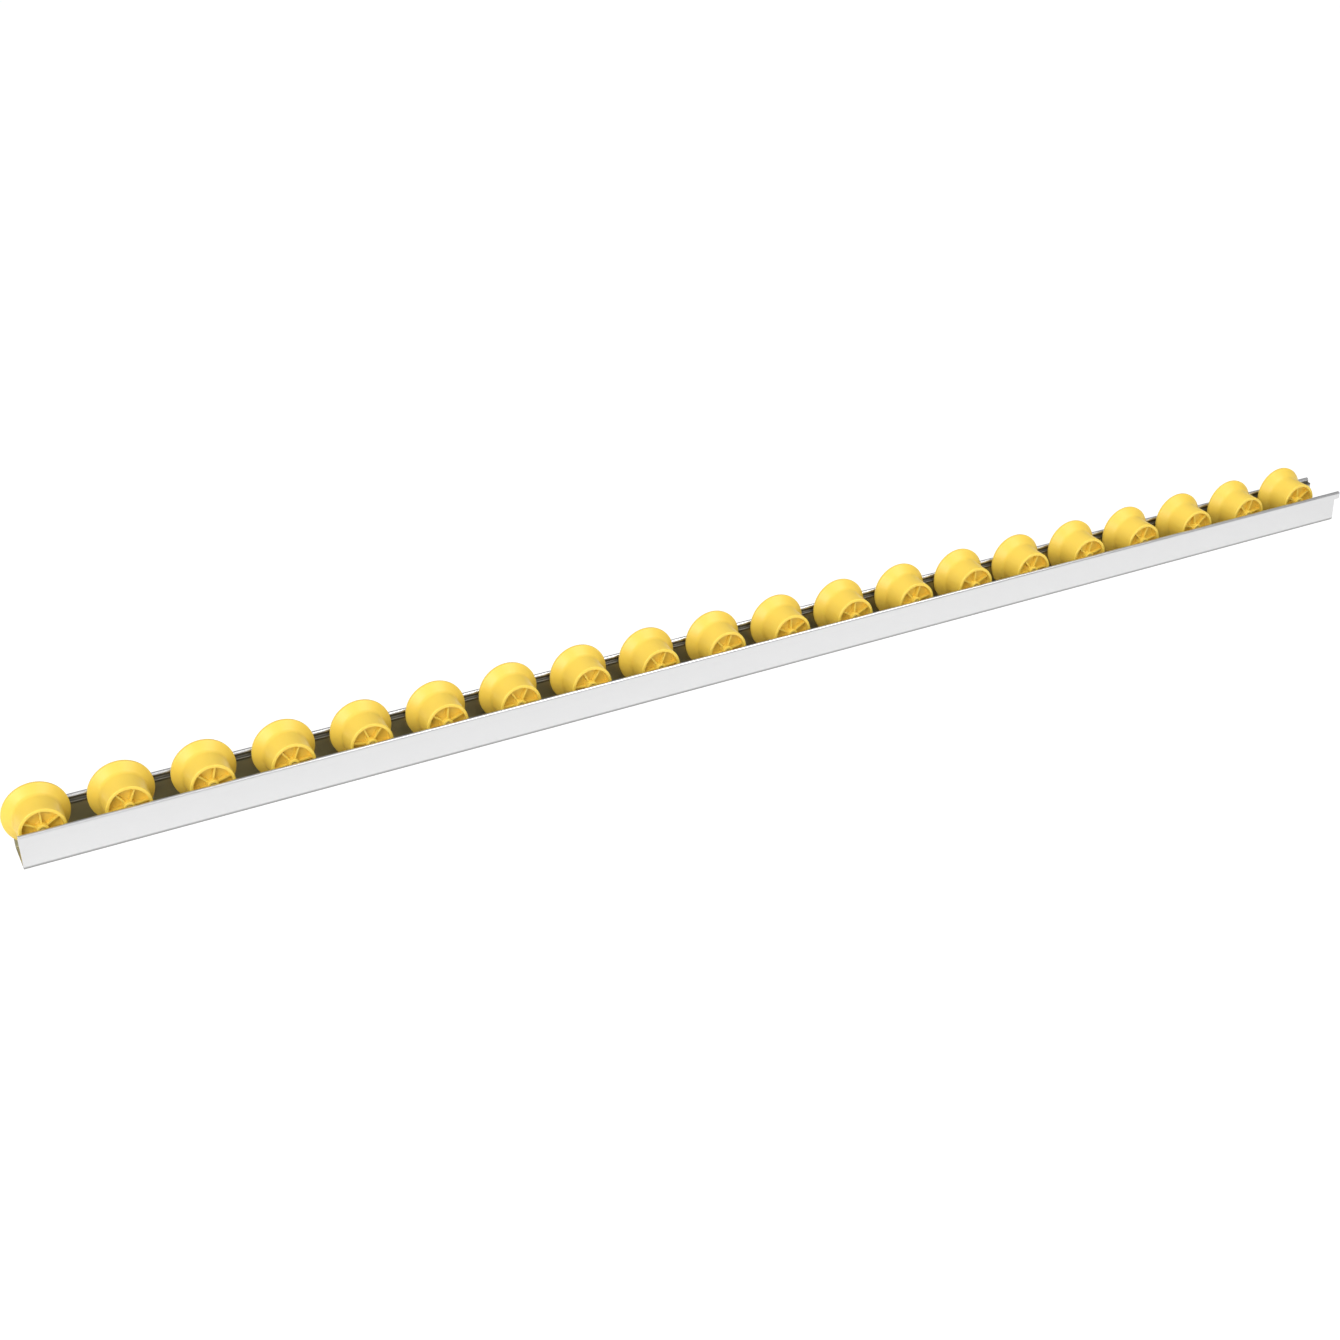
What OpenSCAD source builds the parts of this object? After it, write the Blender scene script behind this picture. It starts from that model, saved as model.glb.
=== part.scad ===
// Flow rack roller track: flanged plastic rollers on steel axles, in a rail bent from one strip
// of galvanised sheet. X runs along the track, Y across it, and Z up. The origin is on the
// underside of the rail, midway between its ends.

/* [Track] */
// Number of rollers along the track
roller_count = 20; // [2:1:28]
// Distance between neighbouring axles
pitch = 50; // [42:1:80]
// Distance from the first axle to the near end of the rail
first_gap = 15; // [6:1:60]
// Distance from the last axle to the far end of the rail
last_gap = 35; // [6:1:60]

/* [Rail] */
// Width over the two walls
rail_w = 28; // [24:0.5:36]
// Thickness of the sheet
sheet_t = 1.2; // [1:0.1:1.5]
// Outside radius of the bends between the base and the walls
base_bend_r = 2; // [1.8:0.1:3]
// Inside radius of the tight bends at the seats
seat_bend_r = 0.3; // [0.2:0.05:0.35]
// Width of the step from each wall out to its hem
seat_w = 2.5; // [2.4:0.1:4]
// Gap inside each folded hem
hem_gap = 0.8; // [0.6:0.1:1.4]
// Height of the folded outer leg of each hem
hem_leg_h = 5.3; // [4.6:0.1:5.6]
// Height of the hems above the axles' centre line
hem_above_axle = 3.3; // [3.2:0.1:4]

/* [Axles] */
// Diameter of each axle
axle_d = 4; // [3:0.1:4.2]
// Gap between each end of an axle and the folded leg of the hem
axle_end_gap = 0.5; // [0.3:0.1:0.7]
// Chamfer on the ends of the axles
axle_chamfer = 0.3; // [0.1:0.1:0.5]
// Height of the axles' centre line above the seats, whose notches hold the axles' lower half
axle_above_seat = 0; // [0:0.1:0.4]

/* [Rollers] */
// Diameter of the guiding flange
flange_d = 40; // [36:0.5:41]
// Width of the flange's rim
flange_rim_w = 1.8; // [1.4:0.1:2.4]
// Angle between the flange's front face and the axle
flange_slope = 45; // [38:1:55]
// Radius that blends the tread into the flange
flange_fillet_r = 4; // [2:0.5:5]
// Radius on the edges of the flange's rim
flange_edge_r = 0.5; // [0.3:0.1:0.6]
// Diameter of the tread at its open end
tread_front_d = 28; // [26:0.5:29]
// Diameter of the tread beside the flange
tread_back_d = 29.2; // [29:0.1:31]
// Radius on the tread's open edge
tread_edge_r = 0.7; // [0.4:0.1:1]
// Thickness of the roller's wall
wall_t = 2.4; // [2:0.1:2.8]
// Diameter of the hub
hub_d = 7.2; // [6.8:0.1:9]
// Gap between each end of the hub and the wall of the rail beside it
hub_gap = 0.4; // [0.2:0.1:1]
// Number of ribs between the hub and the wall
rib_count = 6; // [3:1:8]
// Thickness of each rib
rib_t = 1.2; // [0.9:0.1:1.8]
// Depth of the ribs inside the roller's open ends
rib_recess = 1.5; // [0.8:0.1:3]
// Depth of the recess in the flange side, down to the web
back_recess = 5; // [4:0.5:6]
// Thickness of the web between the recess and the pockets
web_t = 1.6; // [1:0.1:2.4]
// Gap between the roller and each wall of the rail
side_gap = 0.8; // [0.4:0.1:1.2]
// Gap between the flange and the base of the rail
flange_gap = 0.5; // [0.3:0.1:1]
// Radial running clearance between a roller and its axle
bore_gap = 0.08; // [0.04:0.01:0.1]

/* [Hidden] */
$fn = 96;
rail_len = first_gap + (roller_count - 1) * pitch + last_gap;
inner_w = rail_w - 2 * sheet_t;
axle_r = axle_d / 2;
axle_z = sheet_t + flange_gap + flange_d / 2;
axle_len = inner_w + 2 * (seat_w + sheet_t + hem_gap - axle_end_gap);
rail_h = axle_z + hem_above_axle;
seat_z = axle_z - axle_above_seat;
upstand_y = inner_w / 2 + seat_w;
hem_r = sheet_t + hem_gap / 2;
hem_y = upstand_y + hem_r;
leg_y = upstand_y + sheet_t + hem_gap;
roller_w = inner_w - 2 * side_gap;
flange_r = flange_d / 2;
hub_r = hub_d / 2;
pocket_r = tread_front_d / 2 - wall_t;
rim_front = roller_w - flange_rim_w;
web_back = roller_w - back_recess;
rib_back = roller_w - rib_recess;
hub_front = hub_gap - side_gap;
hub_back = roller_w - hub_front;
rib_sink = 1;
// Angles at which the rollers have come to rest, used in turn along the track
rest_angles = [30, 5, 15, 5, 50, 20, 0, 55, 5, 10, 30, 25, 10, 25, 5, 15, 10, 40, 10, 35];

function two_digits(n) = n < 10 ? str("0", n) : str(n);
function axle_x(i) = i * pitch + first_gap - rail_len / 2;
// Radius of the inside of the flange's cone at the depth a
function cone_r(a) = flange_r - (rim_front + wall_t / sin(flange_slope) - a) * tan(flange_slope);
// Points on a round of radius r about [radius, depth], turning by turn in equal steps
function arc(at, r, from, turn, steps) =
    [for (k = [0:steps]) at + r * [cos(from + turn * k / steps), sin(from + turn * k / steps)]];

// A quarter turn of sheet about the origin, between the angles from and from + 90
module sheet_bend(inner_r, from) {
    intersection() {
        difference() {
            circle(inner_r + sheet_t);
            circle(inner_r);
        }
        rotate(from) square(inner_r + sheet_t);
    }
}

// The sheet seen along the track, from the middle of the base to the edge of one hem
module half_section() {
    square([rail_w / 2 - base_bend_r, sheet_t]);
    translate([rail_w / 2 - base_bend_r, base_bend_r]) sheet_bend(base_bend_r - sheet_t, 270);
    translate([inner_w / 2, base_bend_r])
        square([sheet_t, seat_z - sheet_t - seat_bend_r - base_bend_r]);
    translate([rail_w / 2 + seat_bend_r, seat_z - sheet_t - seat_bend_r]) sheet_bend(seat_bend_r, 90);
    translate([rail_w / 2 + seat_bend_r, seat_z - sheet_t])
        square([upstand_y - rail_w / 2 - 2 * seat_bend_r, sheet_t]);
    translate([upstand_y - seat_bend_r, seat_z + seat_bend_r]) sheet_bend(seat_bend_r, 270);
    translate([upstand_y, seat_z + seat_bend_r])
        square([sheet_t, rail_h - hem_r - seat_z - seat_bend_r]);
    translate([hem_y, rail_h - hem_r]) sheet_bend(hem_gap / 2, 0);
    translate([hem_y, rail_h - hem_r]) sheet_bend(hem_gap / 2, 90);
    translate([leg_y, rail_h - hem_leg_h]) square([sheet_t, hem_leg_h - hem_r]);
}

// The rail: base, walls, seats and hems in one piece. The axle holes are notches through the tops
// of the walls and the seats, and close over the axles in the upstands
module rail() {
    color("gainsboro") difference() {
        rotate([90, 0, 90]) linear_extrude(rail_len, center = true) {
            half_section();
            mirror([1, 0]) half_section();
        }
        for (i = [0:roller_count - 1])
            translate([axle_x(i), 0, axle_z]) rotate([90, 0, 0])
                cylinder(h = 2 * hem_y, r = axle_r, center = true);
    }
}

// One axle: a plain pin held at the seats and kept in by the hems' folded legs
module axle(i) {
    color("lightslategray") translate([axle_x(i), 0, axle_z]) rotate([90, 0, 0]) {
        cylinder(h = axle_len - 2 * axle_chamfer, r = axle_r, center = true);
        for (side = [0, 1]) mirror([0, 0, side]) translate([0, 0, axle_len / 2 - axle_chamfer])
            cylinder(h = axle_chamfer, r1 = axle_r, r2 = axle_r - axle_chamfer);
    }
}

// Half of a roller's outline as [radius, depth from its open end], filled to the axis
module roller_outline() {
    front_r = tread_front_d / 2;
    back_r = tread_back_d / 2;
    fillet_rise = flange_fillet_r * (1 - cos(flange_slope));
    fillet_run = flange_fillet_r * sin(flange_slope);
    cone_run = (flange_r - back_r - fillet_rise) / tan(flange_slope);
    edge_at = rim_front + flange_edge_r * tan(flange_slope / 2);
    rim_r = flange_r - flange_edge_r;
    polygon(concat(
        [[0, 0]],
        arc([front_r - tread_edge_r, tread_edge_r], tread_edge_r, -90, 90, 3),
        arc([back_r + flange_fillet_r, rim_front - cone_run - fillet_run], flange_fillet_r,
            180, -flange_slope, 5),
        arc([rim_r, edge_at], flange_edge_r, -flange_slope, flange_slope, 2),
        arc([rim_r, roller_w - flange_edge_r], flange_edge_r, 0, 90, 3),
        [[0, roller_w]]));
}

// The outline less the pockets in front of the web and the recess behind it, and the hub, whose
// ends stand proud to run against the walls of the rail
module roller_section() {
    difference() {
        roller_outline();
        translate([0, -1]) square([pocket_r, web_back - web_t + 1]);
        polygon([
            [0, web_back],
            [cone_r(web_back), web_back],
            [cone_r(roller_w + 1), roller_w + 1],
            [0, roller_w + 1]]);
    }
    translate([0, hub_front]) square([hub_r, hub_back - hub_front]);
}

// The outline of one rib, which sinks into the hub, the wall and the flange
module rib_outline() {
    cone_front = rim_front + wall_t / sin(flange_slope) - (flange_r - pocket_r) / tan(flange_slope);
    polygon([
        [hub_r - rib_sink, rib_recess],
        [pocket_r + rib_sink, rib_recess],
        [pocket_r + rib_sink, cone_front],
        [cone_r(rib_back) + rib_sink, rib_back],
        [hub_r - rib_sink, rib_back]]);
}

// One roller: flange and tread in one moulding, open at both ends, with a hub, ribs and a web
module roller(i) {
    color("gold") translate([axle_x(i), -roller_w / 2, axle_z]) rotate([-90, 0, 0])
        rotate(-rest_angles[i % len(rest_angles)]) difference() {
            union() {
                rotate_extrude() roller_section();
                for (k = [1:rib_count]) rotate(360 * k / rib_count) rotate([90, 0, 0])
                    linear_extrude(rib_t, center = true) rib_outline();
            }
            translate([0, 0, hub_front - 1]) cylinder(h = hub_back - hub_front + 2, r = axle_r + bore_gap);
        }
}

rail();
for (i = [0:roller_count - 1]) {
    axle(i);
    roller(i);
}
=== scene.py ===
import math

import bmesh
import bpy
from mathutils import Matrix, Vector


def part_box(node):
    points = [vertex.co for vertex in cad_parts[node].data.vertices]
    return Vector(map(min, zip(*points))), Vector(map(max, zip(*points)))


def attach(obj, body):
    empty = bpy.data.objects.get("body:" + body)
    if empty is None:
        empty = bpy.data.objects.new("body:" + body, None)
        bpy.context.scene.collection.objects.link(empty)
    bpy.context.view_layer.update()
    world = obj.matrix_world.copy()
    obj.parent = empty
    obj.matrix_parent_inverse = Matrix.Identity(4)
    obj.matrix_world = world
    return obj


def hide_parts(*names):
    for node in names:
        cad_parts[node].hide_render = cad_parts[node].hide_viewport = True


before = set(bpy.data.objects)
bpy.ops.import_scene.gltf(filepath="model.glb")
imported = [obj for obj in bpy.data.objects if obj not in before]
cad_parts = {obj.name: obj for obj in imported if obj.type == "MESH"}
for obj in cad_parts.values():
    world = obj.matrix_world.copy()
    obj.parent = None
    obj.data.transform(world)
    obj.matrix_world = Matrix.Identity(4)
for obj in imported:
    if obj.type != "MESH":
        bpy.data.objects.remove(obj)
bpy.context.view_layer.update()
mm = 0.001


# the camera, with its place in metres
cameraSettings = {
    "place": (-0.57398, -1.02640, 0.60206),
    "headingDeg": 26.02,  # from the Y axis towards the X axis
    "pitchDeg": 27.31,    # down from level
    "rollDeg": 2.07,
    "lensMm": 51.68,
    "sensorMm": 36,
    "clipEnd": 100,
}


def addCamera(settings):
    data = bpy.data.cameras.new("camera")
    data.sensor_width = settings["sensorMm"]
    data.lens = settings["lensMm"]
    data.clip_end = settings["clipEnd"]
    camera = bpy.data.objects.new("camera", data)
    bpy.context.scene.collection.objects.link(camera)
    camera.matrix_world = (
        Matrix.Translation(settings["place"])
        @ Matrix.Rotation(-math.radians(settings["headingDeg"]), 4, "Z")
        @ Matrix.Rotation(math.radians(90 - settings["pitchDeg"]), 4, "X")
        @ Matrix.Rotation(-math.radians(settings["rollDeg"]), 4, "Z")
    )
    bpy.context.scene.camera = camera


addCamera(cameraSettings)
print("camera set")


# parts of the node trees
def newMaterial(name):
    material = bpy.data.materials.new(name)
    material.use_nodes = True
    tree = material.node_tree
    tree.nodes.clear()
    output = tree.nodes.new("ShaderNodeOutputMaterial")
    output.location = (900, 0)
    return material, tree, output


def newFinish(name):
    # a material of one Principled shader, to which the finish adds the rest
    material, tree, output = newMaterial(name)
    shader = addNode(tree, "ShaderNodeBsdfPrincipled", 600, 0)
    tree.links.new(shader.outputs["BSDF"], output.inputs["Surface"])
    return material, tree, shader


def addNode(tree, kind, x, y, **values):
    node = tree.nodes.new(kind)
    node.location = (x, y)
    for key, value in values.items():
        setattr(node, key, value)
    return node


def addRamp(tree, x, y, stops):
    # two tones, each given as (position, color)
    node = addNode(tree, "ShaderNodeValToRGB", x, y)
    for element, (position, color) in zip(node.color_ramp.elements, stops):
        element.position = position
        element.color = color + (1,)
    return node


unevenness = {
    "patchDetail": 3,
    "grainDetail": 2,
    "maskFrom": 0.3,  # stretch of the mask over which a finish goes from one tone to the other
    "maskTo": 0.7,
}


def makeUnevenGroup(settings):
    # slow and fine unevenness that the finishes share
    group = bpy.data.node_groups.new("unevenness", "ShaderNodeTree")
    sockets = group.interface
    sockets.new_socket("Vector", in_out="INPUT", socket_type="NodeSocketVector")
    for name in ("Patch Scale", "Grain Scale", "Grain Share"):
        sockets.new_socket(name, in_out="INPUT", socket_type="NodeSocketFloat")
    sockets.new_socket("Mask", in_out="OUTPUT", socket_type="NodeSocketFloat")
    start = addNode(group, "NodeGroupInput", -600, 0)
    patches = addNode(group, "ShaderNodeTexNoise", -350, 150)
    patches.inputs["Detail"].default_value = settings["patchDetail"]
    grain = addNode(group, "ShaderNodeTexNoise", -350, -150)
    grain.inputs["Detail"].default_value = settings["grainDetail"]
    blend = addNode(group, "ShaderNodeMix", -100, 0, data_type="FLOAT")
    end = addNode(group, "NodeGroupOutput", 150, 0)
    links = group.links
    links.new(start.outputs["Vector"], patches.inputs["Vector"])
    links.new(start.outputs["Vector"], grain.inputs["Vector"])
    links.new(start.outputs["Patch Scale"], patches.inputs["Scale"])
    links.new(start.outputs["Grain Scale"], grain.inputs["Scale"])
    links.new(start.outputs["Grain Share"], blend.inputs["Factor"])
    links.new(patches.outputs["Fac"], blend.inputs["A"])
    links.new(grain.outputs["Fac"], blend.inputs["B"])
    links.new(blend.outputs["Result"], end.inputs["Mask"])
    return group


unevenGroup = makeUnevenGroup(unevenness)


def addUneven(tree, look):
    # the unevenness on the piece's own coordinates
    place = addNode(tree, "ShaderNodeTexCoord", -900, 0)
    stretch = addNode(tree, "ShaderNodeMapping", -700, 0)
    stretch.inputs["Scale"].default_value = look["stretch"]
    uneven = addNode(tree, "ShaderNodeGroup", -450, 0, node_tree=unevenGroup)
    for name, value in look["uneven"].items():
        uneven.inputs[name].default_value = value
    tree.links.new(place.outputs["Object"], stretch.inputs["Vector"])
    tree.links.new(stretch.outputs["Vector"], uneven.inputs["Vector"])
    return uneven


def addTones(tree, look, uneven):
    # the two tones that the unevenness blends
    tones = addRamp(tree, -150, 100, [(unevenness["maskFrom"], look["dark"]),
                                      (unevenness["maskTo"], look["light"])])
    tree.links.new(uneven.outputs["Mask"], tones.inputs["Fac"])
    return tones


def addBump(tree, look, uneven):
    bump = addNode(tree, "ShaderNodeBump", 300, -250)
    bump.inputs["Strength"].default_value = look["bump"]
    bump.inputs["Distance"].default_value = look["bumpDepth"]
    tree.links.new(uneven.outputs["Mask"], bump.inputs["Height"])
    return bump


# the finishes, whose colours are linear
plasticLook = {
    "dark": (0.875, 0.612, 0.082),
    "light": (0.905, 0.642, 0.094),
    "stretch": (1, 1, 1),
    "uneven": {"Patch Scale": 45, "Grain Scale": 1400, "Grain Share": 0.35},
    "roughness": 0.40,
    "ior": 1.49,
    "subsurface": 0.12,
    "subsurfaceScale": 2 * mm,
    "subsurfaceRadius": (1.0, 0.8, 0.35),
    "bump": 0.04,
    "bumpDepth": 0.2 * mm,
}


def makePlastic(look):
    material, tree, shader = newFinish("yellowPlastic")
    uneven = addUneven(tree, look)
    tones = addTones(tree, look, uneven)
    bump = addBump(tree, look, uneven)
    shader.inputs["Roughness"].default_value = look["roughness"]
    shader.inputs["IOR"].default_value = look["ior"]
    shader.inputs["Subsurface Weight"].default_value = look["subsurface"]
    shader.inputs["Subsurface Scale"].default_value = look["subsurfaceScale"]
    shader.inputs["Subsurface Radius"].default_value = look["subsurfaceRadius"]
    tree.links.new(tones.outputs["Color"], shader.inputs["Base Color"])
    tree.links.new(bump.outputs["Normal"], shader.inputs["Normal"])
    return material


zincLook = {
    "name": "galvanisedSteel",
    "dark": (0.762, 0.762, 0.762),
    "light": (0.776, 0.776, 0.774),
    "stretch": (0.12, 1, 1),
    "uneven": {"Patch Scale": 120, "Grain Scale": 1500, "Grain Share": 0.4},
    "paintedShade": (0.36, 0.36, 0.35),  # painted shade on the bends along the base, the dark that they mirror from the shaded floor under the rail
    "shadeFullAt": 1.3 * mm,          # height at which the painted shade is full
    "shadeFadedAt": 2.7 * mm,         # height at which that has faded
    "shadeBeyond": 12.9 * mm,     # from the middle of the rail
    "smooth": 0.30,
    "rough": 0.33,
    "bump": 0.005,
    "bumpDepth": 0.2 * mm,
}
# the inside of the channel: the same zinc, darker and yellower, with painted shade and painted yellow
# bounce light from the rollers
shadedInsideLook = {
    **zincLook,
    "name": "galvanisedInsidePaintedShade",
    "dark": (0.54, 0.53, 0.41),
    "light": (0.60, 0.59, 0.46),
    "paintedShade": (0.20, 0.19, 0.155),  # painted shade over the seats and the upstands, the darkest faces of all
    "shadeFullAt": 20.9 * mm,
    "shadeFadedAt": 19.4 * mm,
    "shadeBeyond": 0,
    "smooth": 0.40,
    "rough": 0.45,
}


def addPaintedShade(tree, look, tones):
    # the painted shade over the other tones, by height and by the distance from the middle of the rail
    place = addNode(tree, "ShaderNodeTexCoord", -900, 400)
    parts = addNode(tree, "ShaderNodeSeparateXYZ", -700, 400)
    height = addNode(tree, "ShaderNodeMapRange", -450, 500, interpolation_type="SMOOTHSTEP")
    height.inputs["From Min"].default_value = look["shadeFadedAt"]
    height.inputs["From Max"].default_value = look["shadeFullAt"]
    across = addNode(tree, "ShaderNodeMath", -600, 300, operation="ABSOLUTE")
    outside = addNode(tree, "ShaderNodeMath", -450, 300, operation="GREATER_THAN")
    outside.inputs[1].default_value = look["shadeBeyond"]
    share = addNode(tree, "ShaderNodeMath", -250, 400, operation="MULTIPLY")
    shadedTone = addNode(tree, "ShaderNodeMix", 300, 200, data_type="RGBA")
    shadedTone.inputs["B"].default_value = look["paintedShade"] + (1,)
    links = tree.links
    links.new(place.outputs["Object"], parts.inputs["Vector"])
    links.new(parts.outputs["Z"], height.inputs["Value"])
    links.new(parts.outputs["Y"], across.inputs[0])
    links.new(across.outputs["Value"], outside.inputs[0])
    links.new(height.outputs["Result"], share.inputs[0])
    links.new(outside.outputs["Value"], share.inputs[1])
    links.new(share.outputs["Value"], shadedTone.inputs["Factor"])
    links.new(tones.outputs["Color"], shadedTone.inputs["A"])
    return shadedTone


def makeZinc(look):
    material, tree, shader = newFinish(look["name"])
    uneven = addUneven(tree, look)
    shadedTone = addPaintedShade(tree, look, addTones(tree, look, uneven))
    gloss = addNode(tree, "ShaderNodeMapRange", -150, -150)
    gloss.inputs["From Min"].default_value = unevenness["maskFrom"]
    gloss.inputs["From Max"].default_value = unevenness["maskTo"]
    gloss.inputs["To Min"].default_value = look["smooth"]
    gloss.inputs["To Max"].default_value = look["rough"]
    bump = addBump(tree, look, uneven)
    shader.inputs["Metallic"].default_value = 1
    tree.links.new(uneven.outputs["Mask"], gloss.inputs["Value"])
    tree.links.new(shadedTone.outputs["Result"], shader.inputs["Base Color"])
    tree.links.new(gloss.outputs["Result"], shader.inputs["Roughness"])
    tree.links.new(bump.outputs["Normal"], shader.inputs["Normal"])
    return material


axleLook = {
    "dark": (0.42, 0.42, 0.43),
    "light": (0.56, 0.56, 0.57),
    "stretch": (1, 0.1, 1),
    "uneven": {"Patch Scale": 300, "Grain Scale": 3000, "Grain Share": 0.6},
    "roughness": 0.28,
}


def makeAxleSteel(look):
    material, tree, shader = newFinish("axleSteel")
    tones = addTones(tree, look, addUneven(tree, look))
    shader.inputs["Metallic"].default_value = 1
    shader.inputs["Roughness"].default_value = look["roughness"]
    tree.links.new(tones.outputs["Color"], shader.inputs["Base Color"])
    return material


plastic = makePlastic(plasticLook)
zinc = makeZinc(zincLook)
zincInsideShaded = makeZinc(shadedInsideLook)
axleSteel = makeAxleSteel(axleLook)
print("finishes made")


# modelling steps that the pieces share
meshSettings = {
    "smallRadius": 0.6 * mm,  # a corner with a smaller radius gets fewer steps
    "smallSteps": 3,
    "largeSteps": 6,
    "mergeDistance": 0.002 * mm,
    "sharpDeg": 35,           # an edge that turns by more than this stays sharp
}


def roundedFace(bm, corners):
    # a face through the corners, each given as (place, radius), with every corner rounded
    verts = [bm.verts.new(place) for place, radius in corners]
    bm.faces.new(verts)
    for i, (place, radius) in enumerate(corners):
        before = (corners[i - 1][0] - place).normalized()
        after = (corners[(i + 1) % len(corners)][0] - place).normalized()
        offset = radius / math.tan(before.angle(after) / 2)
        small = radius < meshSettings["smallRadius"]
        steps = meshSettings["smallSteps" if small else "largeSteps"]
        bmesh.ops.bevel(bm, geom=[verts[i]], affect="VERTICES", offset=offset, segments=steps,
                        profile=0.5, material=-1, clamp_overlap=True)
    bmesh.ops.remove_doubles(bm, verts=bm.verts, dist=meshSettings["mergeDistance"])
    return list(bm.faces)[0]


def vertsOf(geometry):
    return [element for element in geometry if isinstance(element, bmesh.types.BMVert)]


def extrudeFace(bm, face, move):
    grown = bmesh.ops.extrude_face_region(bm, geom=[face])
    bmesh.ops.translate(bm, verts=vertsOf(grown["geom"]), vec=move)


def easeEdges(bm, edges, offset, steps):
    bmesh.ops.bevel(bm, geom=edges, affect="EDGES", offset=offset, segments=steps,
                    profile=0.5, material=-1)


def addCylinder(bm, nodeName, sides):
    # a cylinder along Y that fills the node's box
    low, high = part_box(nodeName)
    radius = (high.z - low.z) / 2
    turn = Matrix.Translation((low + high) / 2) @ Matrix.Rotation(math.radians(90), 4, "X")
    bmesh.ops.create_cone(bm, cap_ends=True, segments=sides, radius1=radius, radius2=radius,
                          depth=high.y - low.y, matrix=turn)


def finishMesh(bm, name, material):
    bmesh.ops.recalc_face_normals(bm, faces=bm.faces)
    mesh = bpy.data.meshes.new(name)
    bm.to_mesh(mesh)
    bm.free()
    mesh.shade_smooth()
    mesh.set_sharp_from_angle(angle=math.radians(meshSettings["sharpDeg"]))
    mesh.materials.append(material)
    return mesh


def addPiece(name, mesh, body, nodeName):
    piece = bpy.data.objects.new(name, mesh)
    bpy.context.scene.collection.objects.link(piece)
    weights = piece.modifiers.new("flatFaces", "WEIGHTED_NORMAL")
    weights.keep_sharp = True
    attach(piece, body)
    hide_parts(nodeName)


rollerNames = sorted(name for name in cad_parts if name.startswith("roller_"))
axleNames = sorted(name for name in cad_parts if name.startswith("axle_"))


# the rail
railShape = {
    "sheet": 1.2 * mm,
    "wallY": 14 * mm,        # outer face of each wall
    "seatZ": 21.7 * mm,      # top of the seats, level with the axles' centres
    "upstandY": 15.3 * mm,   # inner face of each upstand
    "hemGap": 0.8 * mm,
    "legZ": 19.7 * mm,       # lower edge of the folded legs
    "baseBend": 0.8 * mm,    # inside radius, as the next one is
    "seatBend": 0.3 * mm,
    "seatEdge": 0.5 * mm,    # on the edge that the seats show inside
    "cutEdge": 0.15 * mm,
    "endEdge": 0.1 * mm,     # round the cut ends
    "holeSides": 32,
    "insideTop": 23.3 * mm,  # height up to which the inside of the channel takes the painted shade
    "insideMargin": 0.1 * mm,
    "endFacing": 0.5,        # a face that looks further along the track than this stays plain
}


def railCorners(shape, x, top):
    t = shape["sheet"]
    wall = shape["wallY"]
    seat = shape["seatZ"]
    up = shape["upstandY"]
    leg = up + t + shape["hemGap"]
    hem = t + shape["hemGap"] / 2
    half = [
        (wall, 0, shape["baseBend"] + t),
        (wall, seat - t, shape["seatBend"]),
        (up + t, seat - t, shape["seatBend"] + t),
        (up + t, top - t, shape["hemGap"] / 2),
        (leg, top - t, shape["hemGap"] / 2),
        (leg, shape["legZ"], shape["cutEdge"]),
        (leg + t, shape["legZ"], shape["cutEdge"]),
        (leg + t, top, hem),
        (up, top, hem),
        (up, seat, shape["seatBend"]),
        (wall - t, seat, shape["seatEdge"]),
        (wall - t, t, shape["baseBend"]),
    ]
    whole = half + [(-y, z, radius) for y, z, radius in reversed(half)]
    return [(Vector((x, y, z)), radius) for y, z, radius in whole]


def cutAxleHoles(mesh, shape):
    # one notch right across the walls, seats and upstands for each axle
    bm = bmesh.new()
    for name in axleNames:
        addCylinder(bm, name, shape["holeSides"])
    cutterMesh = bpy.data.meshes.new("holes")
    bm.to_mesh(cutterMesh)
    bm.free()
    cutter = bpy.data.objects.new("holes", cutterMesh)
    target = bpy.data.objects.new("target", mesh)
    for piece in (cutter, target):
        bpy.context.scene.collection.objects.link(piece)
    cut = target.modifiers.new("holes", "BOOLEAN")
    cut.operation = "DIFFERENCE"
    cut.solver = "EXACT"
    cut.object = cutter
    bpy.context.view_layer.update()
    evaluated = target.evaluated_get(bpy.context.evaluated_depsgraph_get())
    result = bpy.data.meshes.new_from_object(evaluated)
    for piece in (cutter, target):
        bpy.data.objects.remove(piece)
    bpy.data.meshes.remove(cutterMesh)
    bpy.data.meshes.remove(mesh)
    result.name = "railSheet"
    result.set_sharp_from_angle(angle=math.radians(meshSettings["sharpDeg"]))
    return result


def paintInsideShade(mesh, shape):
    # the faces inside the channel, which is wider over the seats, take the second finish, with painted
    # shade and painted yellow bounce light
    mesh.materials.append(zincInsideShaded)
    for polygon in mesh.polygons:
        at = polygon.center
        overSeat = at.z > shape["seatZ"] - shape["sheet"] / 2
        reach = shape["upstandY"] if overSeat else shape["wallY"] - shape["sheet"]
        within = abs(at.y) < reach + shape["insideMargin"]
        inside = within and shape["sheet"] / 2 < at.z < shape["insideTop"]
        if inside and abs(polygon.normal.x) < shape["endFacing"]:
            polygon.material_index = 1


def makeRail(shape):
    low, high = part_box("rail")
    bm = bmesh.new()
    face = roundedFace(bm, railCorners(shape, low.x, high.z))
    extrudeFace(bm, face, (high.x - low.x, 0, 0))
    # only the two cut ends have more than four corners
    ends = [f for f in bm.faces if len(f.verts) > 4]
    rims = [e for e in bm.edges if any(f in ends for f in e.link_faces)]
    easeEdges(bm, rims, shape["endEdge"], 1)
    mesh = cutAxleHoles(finishMesh(bm, "railBlank", zinc), shape)
    paintInsideShade(mesh, shape)
    return mesh


addPiece("railSheet", makeRail(railShape), "track", "rail")
print("rail bent")


# the axles and the rollers
axleShape = {"chamfer": 0.3 * mm, "sides": 48}


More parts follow.
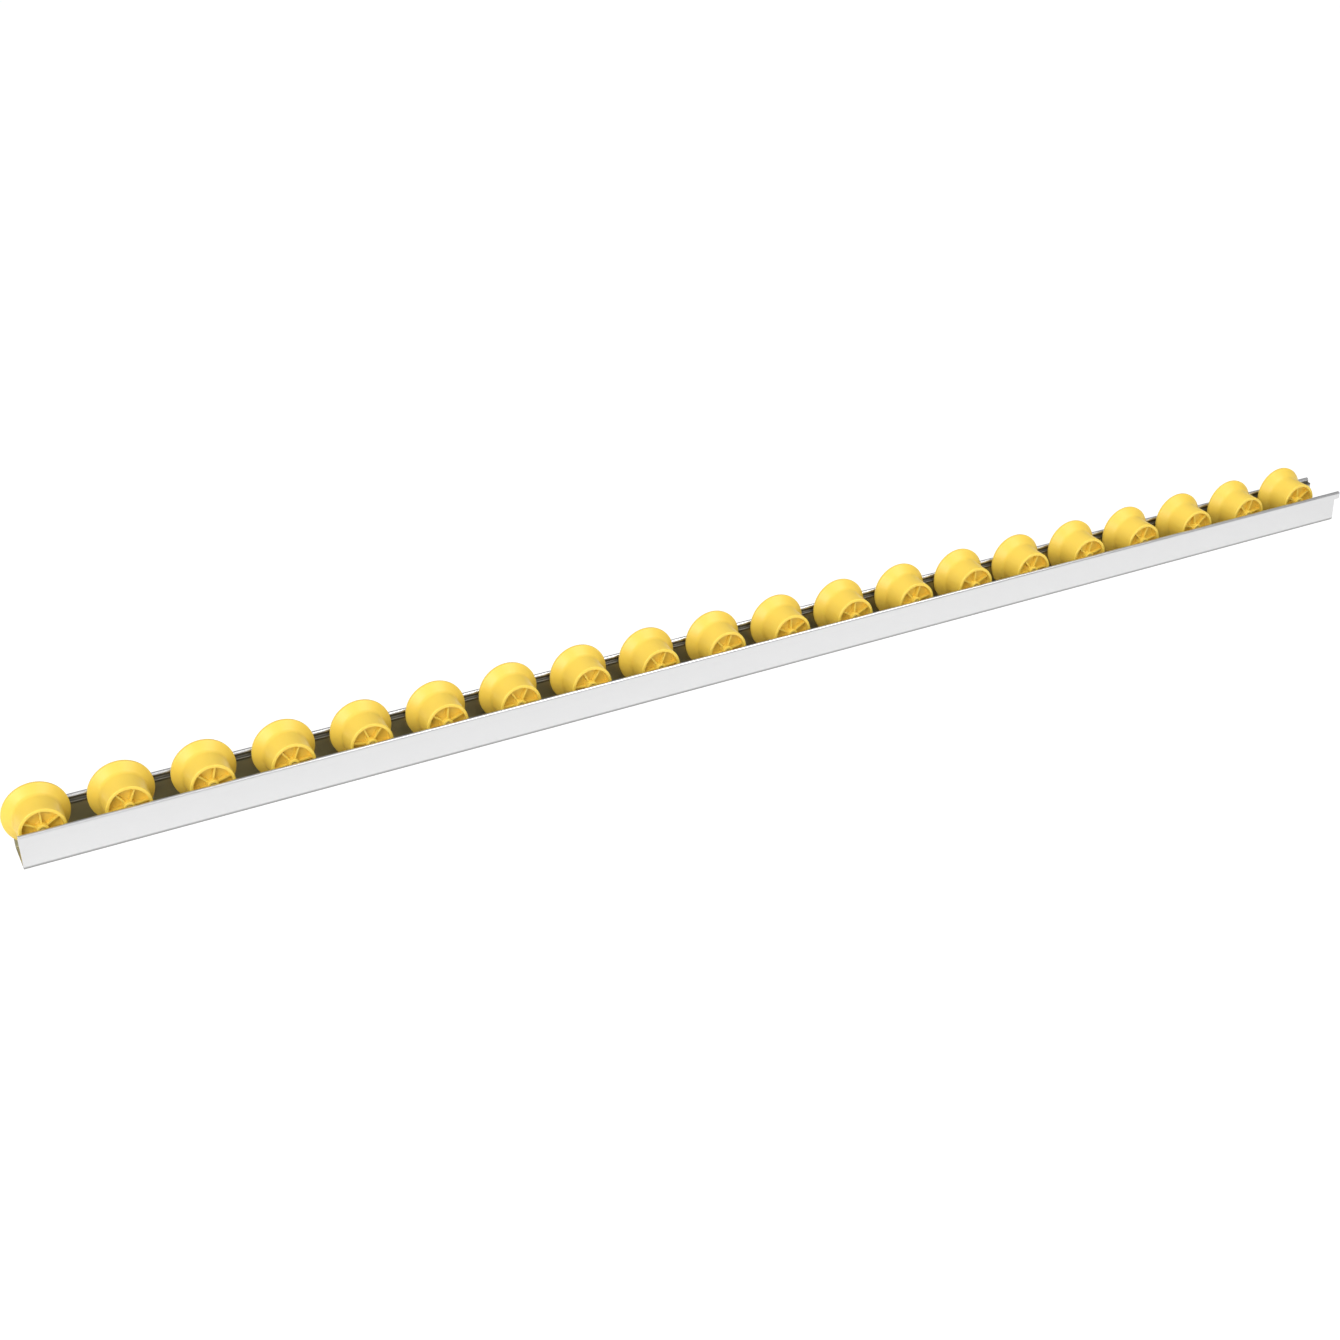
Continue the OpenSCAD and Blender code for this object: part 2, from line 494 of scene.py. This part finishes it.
def makeAxle(nodeName, shape):
    bm = bmesh.new()
    addCylinder(bm, nodeName, shape["sides"])
    sharp = math.radians(meshSettings["sharpDeg"])
    rims = [e for e in bm.edges if e.calc_face_angle(0) > sharp]
    easeEdges(bm, rims, shape["chamfer"], 2)
    return finishMesh(bm, nodeName.replace("axle_", "pin"), axleSteel)


rollerShape = {
    "width": 24 * mm,          # over the tread and the flange
    "boreR": 2.08 * mm,
    "boreEdge": 0.15 * mm,
    "hubR": 3.6 * mm,
    "hubEdge": 0.4 * mm,       # at the hub's ends, and at its foot behind the web
    "hubProud": 0.4 * mm,      # beyond the tread and the flange, at each end
    "pocketR": 12 * mm,
    "pocketDepth": 5 * mm,     # down to the front of the web
    "treadFrontR": 14 * mm,
    "treadBackR": 14.65 * mm,  # where the tread's line meets the cone's
    "treadEdge": 0.7 * mm,
    "wallEdge": 0.25 * mm,     # where the wall opens into the pockets and the recess
    "flangeR": 20 * mm,
    "flangeWall": 2.4 * mm,
    "flangeFillet": 4 * mm,
    "flangeEdge": 0.5 * mm,
    "rimWidth": 1.8 * mm,
    "backRecess": 5 * mm,      # down to the back of the web
    "webFillet": 0.5 * mm,
    "ribs": 6,
    "ribThick": 1.2 * mm,
    "ribRecess": 2 * mm,
    "ribSink": 0.8 * mm,       # into the hub, the wall and the flange
    "ribEdge": 0.15 * mm,
    "steps": 96,               # round the axle
    # angles at which the rollers rest, in degrees
    "restDeg": [30, 5, 15, 5, 50, 20, 0, 55, 5, 10, 30, 25, 10, 25, 5, 15, 10, 40, 10, 35],
}


def coneRadius(shape, depth):
    # inside radius of the flange, whose faces slope at 45 degrees and so rise as far as they run
    across = shape["flangeWall"] / math.sin(math.radians(45))
    outerAt = shape["width"] - shape["rimWidth"] + across
    return shape["flangeR"] - outerAt + depth


def rollerCorners(shape):
    # half of the roller's section, beside the Y axis, with the open end at y = 0
    width = shape["width"]
    flange = shape["flangeR"]
    rimFront = width - shape["rimWidth"]
    webFront = shape["pocketDepth"]
    webBack = width - shape["backRecess"]
    hubFront = -shape["hubProud"]
    hubBack = width - hubFront
    section = [
        (shape["boreR"], hubFront, shape["boreEdge"]),
        (shape["hubR"], hubFront, shape["hubEdge"]),
        (shape["hubR"], webFront, shape["webFillet"]),
        (shape["pocketR"], webFront, shape["webFillet"]),
        (shape["pocketR"], 0, shape["wallEdge"]),
        (shape["treadFrontR"], 0, shape["treadEdge"]),
        (shape["treadBackR"], rimFront - flange + shape["treadBackR"], shape["flangeFillet"]),
        (flange, rimFront, shape["flangeEdge"]),
        (flange, width, shape["flangeEdge"]),
        (coneRadius(shape, width), width, shape["wallEdge"]),
        (coneRadius(shape, webBack), webBack, shape["webFillet"]),
        (shape["hubR"], webBack, shape["hubEdge"]),
        (shape["hubR"], hubBack, shape["hubEdge"]),
        (shape["boreR"], hubBack, shape["boreEdge"]),
    ]
    return [(Vector((radius, y, 0)), rounding) for radius, y, rounding in section]


def makeRibs(shape):
    # one rib is an outline, thickened, with its edges eased, which is then repeated round the hub
    bm = bmesh.new()
    sink = shape["ribSink"]
    front = shape["ribRecess"]
    back = shape["width"] - shape["ribRecess"]
    outer = shape["pocketR"] + sink
    outline = [
        (shape["hubR"] - sink, front),
        (outer, front),
        (outer, shape["pocketR"] - coneRadius(shape, 0)),
        (coneRadius(shape, back) + sink, back),
        (shape["hubR"] - sink, back),
    ]
    low = -shape["ribThick"] / 2
    rib = bm.faces.new([bm.verts.new((radius, y, low)) for radius, y in outline])
    extrudeFace(bm, rib, (0, 0, shape["ribThick"]))
    easeEdges(bm, list(bm.edges), shape["ribEdge"], 2)
    first = list(bm.verts) + list(bm.edges) + list(bm.faces)
    for i in range(1, shape["ribs"]):
        copy = bmesh.ops.duplicate(bm, geom=first)["geom"]
        bmesh.ops.rotate(bm, verts=vertsOf(copy), cent=(0, 0, 0),
                         matrix=Matrix.Rotation(math.radians(360 / shape["ribs"] * i), 3, "Y"))
    mesh = bpy.data.meshes.new("ribs")
    bm.to_mesh(mesh)
    bm.free()
    return mesh


def makeRoller(shape):
    bm = bmesh.new()
    face = roundedFace(bm, rollerCorners(shape))
    ring = list(face.verts) + list(face.edges)
    bmesh.ops.delete(bm, geom=[face], context="FACES_ONLY")
    bmesh.ops.spin(bm, geom=ring, cent=(0, 0, 0), axis=(0, 1, 0), angle=math.radians(360),
                   steps=shape["steps"], use_merge=True, use_duplicate=False)
    ribMesh = makeRibs(shape)
    bm.from_mesh(ribMesh)
    bpy.data.meshes.remove(ribMesh)
    return finishMesh(bm, "roller", plastic)


rollerMesh = makeRoller(rollerShape)
for rollerName, axleName, restDeg in zip(rollerNames, axleNames, rollerShape["restDeg"]):
    low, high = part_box(rollerName)
    pinLow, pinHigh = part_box(axleName)
    centre = (pinLow + pinHigh) / 2
    front = (low.y + high.y - rollerShape["width"]) / 2
    mesh = rollerMesh.copy()
    mesh.transform(Matrix.Translation((centre.x, front, centre.z))
                   @ Matrix.Rotation(-math.radians(restDeg), 4, "Y"))
    number = rollerName[-2:]
    addPiece("moulding" + number, mesh, "wheel_" + number, rollerName)
    addPiece("pin" + number, makeAxle(axleName, axleShape), "track", axleName)
bpy.data.meshes.remove(rollerMesh)
print("rollers and axles placed")


# the floor and the background
studio = {
    "floorSize": 40,
    "floorColor": (0.92, 0.92, 0.92),
    "whiteSeen": 0.80,      # share of plain white in what the camera sees of the floor
    "whiteMirrored": 0.30,  # and in what the metal mirrors of it
    "whiteStrength": 1.16,  # over 1, to make up for the shaded share
    "domeTo": (-0.50, -0.50, 0.70),  # towards the middle of the sky's light half
    "behind": (0.27, 0.27, 0.275),
    "before": (0.63, 0.63, 0.64),
    "behindTo": 0.15,       # shares of that direction between which the dark turns into the light
    "beforeFrom": 0.55,
}


def addFloor(settings):
    bm = bmesh.new()
    bmesh.ops.create_grid(bm, x_segments=1, y_segments=1, size=settings["floorSize"] / 2)
    mesh = bpy.data.meshes.new("floor")
    bm.to_mesh(mesh)
    bm.free()
    material, tree, output = newMaterial("paleFloor")
    rays = addNode(tree, "ShaderNodeLightPath", -400, 200)
    seen = addNode(tree, "ShaderNodeMath", -150, 300, operation="MULTIPLY")
    seen.inputs[1].default_value = settings["whiteSeen"]
    mirrored = addNode(tree, "ShaderNodeMath", -150, 100, operation="MULTIPLY")
    mirrored.inputs[1].default_value = settings["whiteMirrored"]
    share = addNode(tree, "ShaderNodeMath", 100, 200, operation="MAXIMUM")
    plain = addNode(tree, "ShaderNodeBsdfDiffuse", 100, 0)
    plain.inputs["Color"].default_value = settings["floorColor"] + (1,)
    white = addNode(tree, "ShaderNodeEmission", 100, -150)
    white.inputs["Strength"].default_value = settings["whiteStrength"]
    mix = addNode(tree, "ShaderNodeMixShader", 500, 0)
    links = tree.links
    links.new(rays.outputs["Is Camera Ray"], seen.inputs[0])
    links.new(rays.outputs["Is Glossy Ray"], mirrored.inputs[0])
    links.new(seen.outputs["Value"], share.inputs[0])
    links.new(mirrored.outputs["Value"], share.inputs[1])
    links.new(share.outputs["Value"], mix.inputs["Fac"])
    links.new(plain.outputs["BSDF"], mix.inputs[1])
    links.new(white.outputs["Emission"], mix.inputs[2])
    links.new(mix.outputs["Shader"], output.inputs["Surface"])
    mesh.materials.append(material)
    floor = bpy.data.objects.new("floor", mesh)
    bpy.context.scene.collection.objects.link(floor)


def addWorld(settings):
    # the camera sees plain white, and everything else a dome that is lighter on one side
    world = bpy.data.worlds.new("studio")
    world.use_nodes = True
    tree = world.node_tree
    background = tree.nodes["Background"]
    output = tree.nodes["World Output"]
    place = addNode(tree, "ShaderNodeTexCoord", -800, 0)
    toward = addNode(tree, "ShaderNodeVectorMath", -600, 0, operation="DOT_PRODUCT")
    toward.inputs[1].default_value = settings["domeTo"]
    shade = addRamp(tree, -400, 0, [(settings["behindTo"], settings["behind"]),
                                    (settings["beforeFrom"], settings["before"])])
    rays = addNode(tree, "ShaderNodeLightPath", -400, 400)
    white = addNode(tree, "ShaderNodeBackground", 0, -200)
    white.inputs["Color"].default_value = (1, 1, 1, 1)
    white.inputs["Strength"].default_value = settings["whiteStrength"]
    mix = addNode(tree, "ShaderNodeMixShader", 300, 200)
    links = tree.links
    links.new(place.outputs["Generated"], toward.inputs[0])
    links.new(toward.outputs["Value"], shade.inputs["Fac"])
    links.new(shade.outputs["Color"], background.inputs["Color"])
    links.new(rays.outputs["Is Camera Ray"], mix.inputs["Fac"])
    links.new(background.outputs["Background"], mix.inputs[1])
    links.new(white.outputs["Background"], mix.inputs[2])
    links.new(mix.outputs["Shader"], output.inputs["Surface"])
    bpy.context.scene.world = world


# the lamps, with places and sizes in metres
lamps = {
    "top": {"place": (0.46, -0.45, 1.25), "aim": (0, 0, 0), "width": 0.95, "depth": 0.8, "watts": 7.6},
    "left": {"place": (-1.5, -1.3, 1.25), "aim": (-0.1, 0, 0), "width": 1.5, "depth": 1.1, "watts": 28},
}


def addLamp(name, settings):
    data = bpy.data.lights.new(name, "AREA")
    data.shape = "RECTANGLE"
    data.size = settings["width"]
    data.size_y = settings["depth"]
    data.energy = settings["watts"]
    lamp = bpy.data.objects.new(name, data)
    bpy.context.scene.collection.objects.link(lamp)
    lamp.location = settings["place"]
    toAim = Vector(settings["aim"]) - lamp.location
    lamp.rotation_euler = toAim.to_track_quat("-Z", "Y").to_euler()


addFloor(studio)
addWorld(studio)
for lampName, lampSettings in lamps.items():
    addLamp(lampName, lampSettings)
bpy.context.scene.view_settings.view_transform = "Standard"
print("studio lit")
